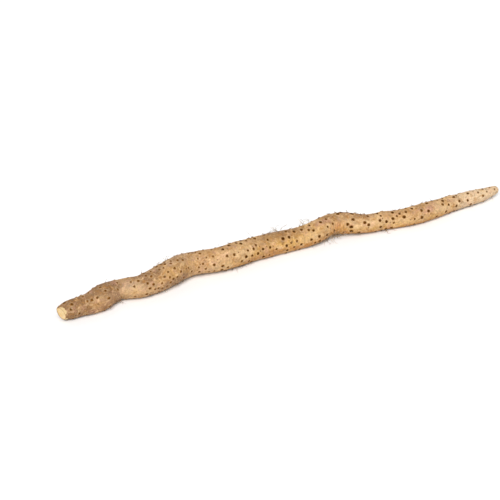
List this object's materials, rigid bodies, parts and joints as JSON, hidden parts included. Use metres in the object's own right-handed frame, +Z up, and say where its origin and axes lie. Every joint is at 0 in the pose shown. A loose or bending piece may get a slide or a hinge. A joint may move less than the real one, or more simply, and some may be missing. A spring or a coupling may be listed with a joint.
{
  "type": "chinese yam",
  "caption": "Long slender yam tuber, slightly crooked, with warty tan skin, an oblique cut at its thick end and a narrow blunt tip.",
  "frame": {"origin": "bottom centre of the bounding box, on the surface that the tuber lies on", "axes": "+X along the tuber from the cut end to the growing tip, +Z up"},
  "size_m": [0.6534, 0.0572, 0.0348],
  "materials": {
    "skin": "matt, dry and faintly corky, tan with ochre and pinkish patches and dark rootlet scars",
    "flesh": "cut flesh, pale cream, moist and slightly fibrous",
    "rootlet": "dry rootlets and the scars they leave, dark brown, matt"
  },
  "bodies": {
    "root": {"yam": "skin"}
  },
  "joints": []
}
